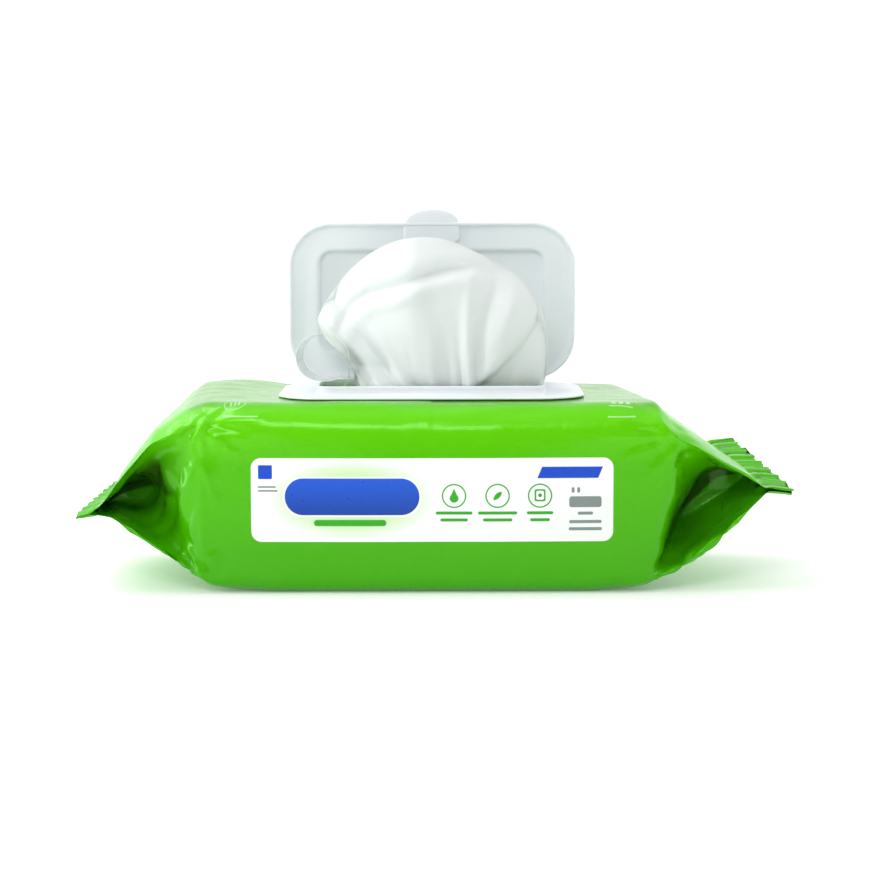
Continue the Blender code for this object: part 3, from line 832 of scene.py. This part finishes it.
def wipe_points(columns=244, rows=190):
    """The drawn wipe's grid: u runs across it, v from its front foot over the crest to its back.

    A column starts at the foot in the mouth, swells forwards, meets the outline at its own
    place on the crest and comes down behind. Pleats along the columns, the fold across the
    front and the corner that hangs over then push the cloth to and fro.
    """
    u = np.sin(np.linspace(-1, 1, columns) * np.pi / 2)[None, :]
    v = np.linspace(0, 1, rows)[:, None]
    outline = np.array(HOOD, float)
    steps = np.concatenate([[0], np.cumsum(np.linalg.norm(np.diff(outline, axis=0), axis=1))])
    place = 2 * steps / steps[-1] - 1
    crest_x = smooth_curve(u, np.column_stack([place, outline[:, 0]]))
    crest_z = smooth_curve(u, np.column_stack([place, outline[:, 1]]))
    foot_x = 7.0 + 43.0 * u
    # How far up a column is: 0 at a foot, 1 at the crest, and which side of the crest it is.
    rise = np.sin(np.pi * v)
    climb = rise**1.15
    front = np.where(v < 0.5, -1.0, 1.0)
    x = foot_x + (crest_x - foot_x) * (rise**1.25)
    z = FOOT_LEVEL + (crest_z - FOOT_LEVEL) * climb
    hood = np.clip(1 - np.abs(u) ** 3.2, 0, 1) ** 0.5
    swell = np.where(v < 0.5, 12.5, 11.0) * np.sin(np.pi * np.clip(climb, 0, 1)) ** 0.55
    foot = 5.0 * (1 - rise) ** 2
    lean = 5.0 * climb * np.clip(1 - np.abs(u), 0, 1)
    y = -7.0 + front * hood * (swell * (1 - 0.15 * climb) + foot + 1.2) * (1 - rise**14) + lean

    push = np.zeros(np.broadcast(x, y).shape)
    for at, width, height, level, spread in PLEATS:
        wander = at + 0.02 * np.sin(z * 0.07 + at * 9)
        across = np.exp(-(((u - wander) / width) ** 2))
        push += 1.25 * height * across * np.exp(-(((z - level) / spread) ** 2))
    low = 1 - smooth_step(z, 88, 112)
    push += low * 0.35 * np.sin(29 * u + 4 * u * u + 0.05 * z)
    push += low * 0.25 * np.sin(47 * u + 2 + 0.04 * z)
    fold = line_distance(x + 0 * v, z, FRONT_FOLD)
    reach = smooth_step(x, -54, -28) * (1 - 0.9 * smooth_step(x, 4, 34))
    fold_shape = sum(
        depth * np.exp(-(((fold - at) / width) ** 2))
        for depth, at, width in ((2.3, -4.0, 4.2), (-4.0, 2.0, 2.6), (1.8, 9.0, 4.2))
    )
    corner = line_distance(x + 0 * v, z, CORNER_EDGE)
    hang = smooth_step(x, 12, 26)
    corner_shape = np.exp(-(((corner - 2.0) / 2.4) ** 2)) - 4.0 * smooth_step(-corner, 0, 2.2)
    push += np.where(v < 0.5, fold_shape * reach + corner_shape * hang, 0.0)
    push *= smooth_step(1 - np.abs(u), 0.0, 0.10) * (1 - rise**20)
    points = np.stack(np.broadcast_arrays(x, y + front * push, z), axis=2)
    waves = waviness(points, ripples(21, 10, 18, 50))
    calm = smooth_step(1 - np.abs(u), 0.0, 0.15) * (1 - rise**30)
    points[:, :, 1] += front * 0.8 * waves * calm
    swing = 25 * smooth_step(-points[:, :, 0], 6, 48) * smooth_step(points[:, :, 2], 92, 104)
    points[:, :, 1] += swing
    return points


def build_drawn_wipe(cloth):
    """The wipe that stands out of the mouth: one sheet."""
    points = wipe_points()
    rows, columns = points.shape[:2]
    faces = grid_faces(rows, columns)
    wipe = make_piece("drawn_wipe_cloth", points, faces, cloth, "pack")
    thicken(wipe, 0.4)
    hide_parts("drawn_wipe")
    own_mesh(wipe)


def label_points(along=110, across=26):
    """The peel label: a glued foot, then a loose roll whose radius grows towards the front."""
    foot = np.array([(-53.2, 90.3), (-50, 90.3), (-46.6, 91.1), (-43.2, 93.6), (-40.8, 97.2)])
    t = np.linspace(0, 1, 60)
    angle = np.radians(-20 + 292 * t)
    v = np.linspace(0, 1, across)
    sheets = []
    for depth in v:
        grow = 1.0 - 0.10 * depth
        radius = (13.5 - 3.4 * smooth_step(t, 0.5, 1)) * grow
        centre = (-53.3 + 0.9 * depth, 107.0 - 0.6 * depth)
        roll = np.stack([centre[0] + radius * np.cos(angle), centre[1] + radius * np.sin(angle)], 1)
        tail = np.array([(-48.2, 97.3), (-44.4, 98.9)])
        line = np.concatenate([foot, roll, tail])
        steps = np.concatenate([[0], np.cumsum(np.linalg.norm(np.diff(line, axis=0), axis=1))])
        even = np.linspace(0, steps[-1], along)
        xz = np.stack([np.interp(even, steps, line[:, k]) for k in (0, 1)], 1)
        y = -19.5 + 22.0 * depth + 0.7 * np.sin(np.linspace(0, 9, along) + depth)
        y = np.clip(y, -19.4, 3.0)
        sheets.append(np.stack([xz[:, 0], y, xz[:, 1]], 1))
    return np.array(sheets)


def build_label(sizes):
    """The peel label: one clear sheet."""
    points = label_points()
    rows, columns = points.shape[:2]
    faces = grid_faces(rows, columns)
    label = make_piece("peel_label_film", points, faces, clear_finish(sizes), "pack")
    thicken(label, 0.16)
    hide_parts("peel_label")
    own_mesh(label)


def build_frame(plastic):
    """The dispenser frame: a flange whose section turns up into a collar and down its inside."""
    base = FRAME_LOW[2]
    centre = ((FRAME_LOW[0] + FRAME_HIGH[0]) / 2, (FRAME_LOW[1] + FRAME_HIGH[1]) / 2)
    size = (FRAME_HIGH[0] - FRAME_LOW[0], FRAME_HIGH[1] - FRAME_LOW[1])
    flange = smooth_profile(
        [(3, base), (0.3, base), (0, base + 0.45), (0.45, base + 0.95), (3.4, base + 1.3),
         (5, base + 1.5), (9, base + 1.5)],
        0.3,
    )
    rows = [ring_rows(flange, size, 23.5, centre)]
    collar = smooth_profile(
        [(-2.4, base + 1.5), (-0.9, base + 1.6), (-0.1, base + 2.6), (0, base + 4.6),
         (0.55, base + 5), (1.2, base + 4.9), (1.5, base + 4.4), (1.5, base)],
        0.5,
    )
    rows.append(ring_rows(collar, (111.0, 48.0), 6.0, (0, 0)))
    points = np.concatenate(rows)
    faces = grid_faces(*points.shape[:2], wrap_rows=True, wrap_columns=True)
    made = make_piece("dispenser_frame", points, faces, plastic, "pack")
    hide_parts("lid_frame")


def open_lid(points):
    """Turns points drawn on the closed lid, about the hinge, to the open lid's place."""
    x, y, z = np.moveaxis(points, -1, 0)
    return np.stack([x, HINGE[1] + z, HINGE[2] - y], axis=-1)


def build_lid(plastic):
    """The lid: rounded rings from the inner panel, round the skirt, to the outer panel."""
    middle = (0.0, -40.0)
    recess, lid = ((116.0, 52.0), 7.0), ((146.0, 80.0), 22.0)
    inner = smooth_profile(
        [(25.5, 5.3), (3.0, 5.3), (1.2, 4.9), (0.4, 1.8), (-0.8, 1.1), (-4.0, 1.1)], 0.9
    )
    skirt = smooth_profile(
        [(6.5, 1.1), (4.2, 1.0), (2.8, 0.6), (1.8, -0.5), (1.5, -1.0), (1.1, -1.2), (0.4, -1.2),
         (0.0, -0.8), (0.2, 0.9), (0.7, 1.8), (2.0, 2.3), (5.0, 2.3)],
        0.5,
    )
    outer = smooth_profile(
        [(-3.5, 2.3), (-1.6, 2.3), (-0.6, 2.9), (0.3, 5.6), (1.4, 6.5), (3.5, 6.5), (25.5, 6.5)],
        0.9,
    )
    parts = ((inner, *recess), (skirt, *lid), (outer, *recess))
    points = np.concatenate([ring_rows(*part, middle) for part in parts])
    # The skirt's edge is notched at the back for the hinge web.
    notch = (np.abs(points[:, :, 0]) < 36) & (points[:, :, 1] > -3) & (points[:, :, 2] < 0.5)
    points[:, :, 2] = np.where(notch, 0.5, points[:, :, 2])
    faces = capped_faces(*points.shape[:2])
    made = make_piece("flip_lid_shell", open_lid(points), faces, plastic, "lid")
    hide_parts("flip_lid")


def build_tab(plastic):
    """The finger tab: a rounded tongue across the lid's front edge, thickest at its middle."""
    angle = np.linspace(0, np.pi, 41)
    side = np.linspace(-80, -70, 10)[1:-1]
    flank = np.full(len(side), 14.2)
    front = np.stack([-13.6 * np.cos(angle), -80.0 - 6.6 * np.sin(angle)], 1)
    back = np.stack([13.6 * np.cos(angle), -71.0 + 2.4 * np.sin(angle)], 1)
    right, left = np.stack([flank, side], 1), np.stack([-flank, side[::-1]], 1)
    ring = np.concatenate([front, right, back, left])
    centre = np.array([0.0, -76.0])
    # Each ring's share of the outline, and its height.
    levels = ((0.02, -0.35), (0.6, -0.4), (0.93, -0.5), (0.985, -0.35), (1.0, 0.2), (1.0, 1.4),
              (0.985, 2.0), (0.94, 2.2), (0.5, 2.25), (0.02, 2.25))
    rows = []
    for scale, z in levels:
        plan = centre + (ring - centre) * scale
        rows.append(np.column_stack([plan, np.full(len(plan), z)]))
    points = np.array(rows)
    faces = capped_faces(*points.shape[:2])
    make_piece("lid_tab", open_lid(points), faces, plastic, "lid", 60)


def build_web(plastic):
    """The living hinge: a thin strip that curves up from the flange into the lid's edge."""
    u = np.linspace(-35, 35, 60)[None, :]
    angle = np.linspace(0, np.pi / 2, 12)
    bend = [HINGE[1] - 0.9 + 0.9 * np.sin(angle), HINGE[2] + 0.85 - 0.9 * np.cos(angle)]
    ends = ((HINGE[1] - 1.6, HINGE[2] - 0.1), (HINGE[1], HINGE[2] + 2.0))
    line = np.concatenate([ends[:1], np.stack(bend, 1), ends[1:]])
    across = np.gradient(line, axis=0)
    across = np.stack([-across[:, 1], across[:, 0]], 1)
    across /= np.linalg.norm(across, axis=1)[:, None]
    ring = np.concatenate([line + across * 0.16, (line - across * 0.16)[::-1]])
    grid = np.broadcast_arrays(u, ring[:, :1], ring[:, 1:2])
    points = np.stack(grid, axis=2).transpose(1, 0, 2)
    faces = capped_faces(*points.shape[:2])
    web = make_piece("living_hinge", points, faces, plastic, None, 60)
    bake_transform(web)
    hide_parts("hinge_web")


# ---------------------------------------------------------------- properties and operators


class WipesPackSizes(bpy.types.PropertyGroup):
    """Sizes and colours of the pack."""

    film_green: FloatVectorProperty(
        name="Film green", description="Printed colour of the film", subtype="COLOR",
        default=(0.086, 0.500, 0.0), min=0, max=1,
    )
    plastic_tint: FloatVectorProperty(
        name="Plastic tint", description="Colour of the moulded dispenser", subtype="COLOR",
        default=(0.775, 0.805, 0.825), min=0, max=1,
    )
    wipe_white: FloatVectorProperty(
        name="Wipe white", description="Colour of the cloth", subtype="COLOR",
        default=(0.79, 0.845, 0.825), min=0, max=1,
    )
    wrinkle: FloatProperty(
        name="Wrinkles", description="Height of the film's creases and waves", default=1.0,
        min=0, max=2,
    )
    label_alpha: FloatProperty(
        name="Label body", description="How much the clear label hides", default=0.68, min=0, max=1
    )


class WipesPackStage(bpy.types.PropertyGroup):
    """Camera and lights."""

    camera_distance: FloatProperty(
        name="Camera distance", description="How far in front of the pack's middle the camera is",
        default=1.085, unit="LENGTH",
    )
    camera_height: FloatProperty(
        name="Camera height", description="Height of the camera over the floor", default=0.190,
        unit="LENGTH",
    )
    focal_length: FloatProperty(
        name="Focal length", description="Of the lens, in millimetres", default=89.9673, min=1
    )
    room_light: FloatProperty(
        name="Room light", description="Strength of the light from above", default=1.0, min=0
    )
    back_light: FloatProperty(
        name="Back light", description="Strength of the light from behind", default=1.25, min=0
    )
    front_light: FloatProperty(
        name="Front light", description="Strength of the light from the front", default=0.24, min=0
    )


class WIPESPACK_OT_pouch(bpy.types.Operator):
    """Build the film pouch"""

    bl_idname = "wipes_pack.pouch"
    bl_label = "Film pouch"

    def execute(self, context):
        build_pouch(context.scene.wipes_pack_sizes)
        return {"FINISHED"}


class WIPESPACK_OT_wipes(bpy.types.Operator):
    """Build the folded wipes and the one that is drawn up"""

    bl_idname = "wipes_pack.wipes"
    bl_label = "Wipes"

    def execute(self, context):
        sizes = context.scene.wipes_pack_sizes
        cloth = wipe_finish(sizes)
        build_stack(sizes, cloth)
        build_drawn_wipe(cloth)
        return {"FINISHED"}


class WIPESPACK_OT_label(bpy.types.Operator):
    """Build the rolled peel label"""

    bl_idname = "wipes_pack.label"
    bl_label = "Peel label"

    def execute(self, context):
        build_label(context.scene.wipes_pack_sizes)
        return {"FINISHED"}


class WIPESPACK_OT_dispenser(bpy.types.Operator):
    """Build the frame, the lid with its tab, and the hinge web"""

    bl_idname = "wipes_pack.dispenser"
    bl_label = "Dispenser"

    def execute(self, context):
        plastic = plastic_finish(context.scene.wipes_pack_sizes)
        build_frame(plastic)
        build_lid(plastic)
        build_tab(plastic)
        build_web(plastic)
        return {"FINISHED"}


# The studio lights: name, place and size in metres, and power in watts.
LIGHTS = (
    ("key", (-0.75, 0.25, 1.1), (0.7, 0.7), 5.5),
    ("front_fill", (-0.35, -1.6, 1.1), (0.9, 0.5), 10.0),
    ("left_softbox", (-1.15, -0.30, 0.45), (0.12, 0.9), 4.4),
    ("right_softbox", (1.15, -0.10, 0.50), (0.10, 0.9), 1.6),
)
LIT_POINT = Vector((0, 0, 0.06))
FLOOR_HALF = 6.0
SENSOR_WIDTH = 36.0
# The camera's turn from looking straight down, in degrees.
CAMERA_TURN = (90 - 6.52, 0.15, 0.18)


def add_light(name, place, size, watts):
    """A rectangular area light that faces the pack."""
    data = bpy.data.lights.new(name, "AREA")
    data.shape = "RECTANGLE"
    data.size, data.size_y = size
    data.energy = watts
    light = bpy.data.objects.new(name, data)
    light.location = place
    light.rotation_euler = (LIT_POINT - Vector(place)).to_track_quat("-Z", "Y").to_euler()
    bpy.context.scene.collection.objects.link(light)


def light_room(tree, strength, back_strength, front_strength):
    """A white room that is darker on the side the pack faces, by the direction looked in."""
    room = Nodes(tree)
    x, y, z = room.axes(room.node("ShaderNodeTexCoord", output="Generated"))
    behind = ((y + 0.55) / 0.75).clamp()
    above = ((z - 0.45) / 0.4).clamp()
    level = front_strength + behind * (back_strength - front_strength)
    level = level + above * (strength - level)
    tree.links.new(level.socket, tree.nodes["Background"].inputs["Strength"])
    tree.nodes["Background"].inputs["Color"].default_value = (1, 1, 1, 1)


class WIPESPACK_OT_stage(bpy.types.Operator):
    """Build the floor, the camera and the lights"""

    bl_idname = "wipes_pack.stage"
    bl_label = "Stage"

    def execute(self, context):
        scene, stage = context.scene, context.scene.wipes_pack_stage
        mesh = bpy.data.meshes.new("floor")
        far = FLOOR_HALF
        corners = [(-far, -far, 0), (far, -far, 0), (far, far, 0), (-far, far, 0)]
        mesh.from_pydata(corners, [], [(0, 1, 2, 3)])
        mesh.materials.append(floor_finish())
        floor = bpy.data.objects.new("floor", mesh)
        scene.collection.objects.link(floor)

        world = bpy.data.worlds.new("studio")
        scene.world = world
        world.use_nodes = True
        light_room(world.node_tree, stage.room_light, stage.back_light, stage.front_light)

        for light in LIGHTS:
            add_light(*light)

        lens = bpy.data.cameras.new("camera")
        lens.sensor_width = SENSOR_WIDTH
        lens.lens = stage.focal_length
        lens.clip_start = 0.05
        camera = bpy.data.objects.new("camera", lens)
        camera.location = (0.0078, -stage.camera_distance, stage.camera_height)
        camera.rotation_euler = Euler(np.radians(CAMERA_TURN))
        scene.collection.objects.link(camera)
        scene.camera = camera
        scene.view_settings.view_transform = "Standard"
        return {"FINISHED"}


class WIPESPACK_PT_panel(bpy.types.Panel):
    """Lists the pack's sizes and pieces"""

    bl_idname = "WIPESPACK_PT_panel"
    bl_label = "Wipes pack"
    bl_space_type = "VIEW_3D"
    bl_region_type = "UI"
    bl_category = "Wipes pack"

    def draw(self, context):
        for group in (context.scene.wipes_pack_sizes, context.scene.wipes_pack_stage):
            for name in group.__annotations__:
                self.layout.prop(group, name)
        for operator in OPERATORS:
            self.layout.operator(operator.bl_idname)


OPERATORS = (
    WIPESPACK_OT_pouch,
    WIPESPACK_OT_wipes,
    WIPESPACK_OT_label,
    WIPESPACK_OT_dispenser,
    WIPESPACK_OT_stage,
)
CLASSES = (WipesPackSizes, WipesPackStage, *OPERATORS, WIPESPACK_PT_panel)


def register():
    for cls in CLASSES:
        bpy.utils.register_class(cls)
    bpy.types.Scene.wipes_pack_sizes = PointerProperty(type=WipesPackSizes)
    bpy.types.Scene.wipes_pack_stage = PointerProperty(type=WipesPackStage)


def unregister():
    del bpy.types.Scene.wipes_pack_stage
    del bpy.types.Scene.wipes_pack_sizes
    for cls in reversed(CLASSES):
        bpy.utils.unregister_class(cls)


def main():
    register()
    bpy.ops.wipes_pack.stage()
    bpy.ops.wipes_pack.pouch()
    bpy.ops.wipes_pack.wipes()
    bpy.ops.wipes_pack.label()
    bpy.ops.wipes_pack.dispenser()


if __name__ == "__main__":
    main()
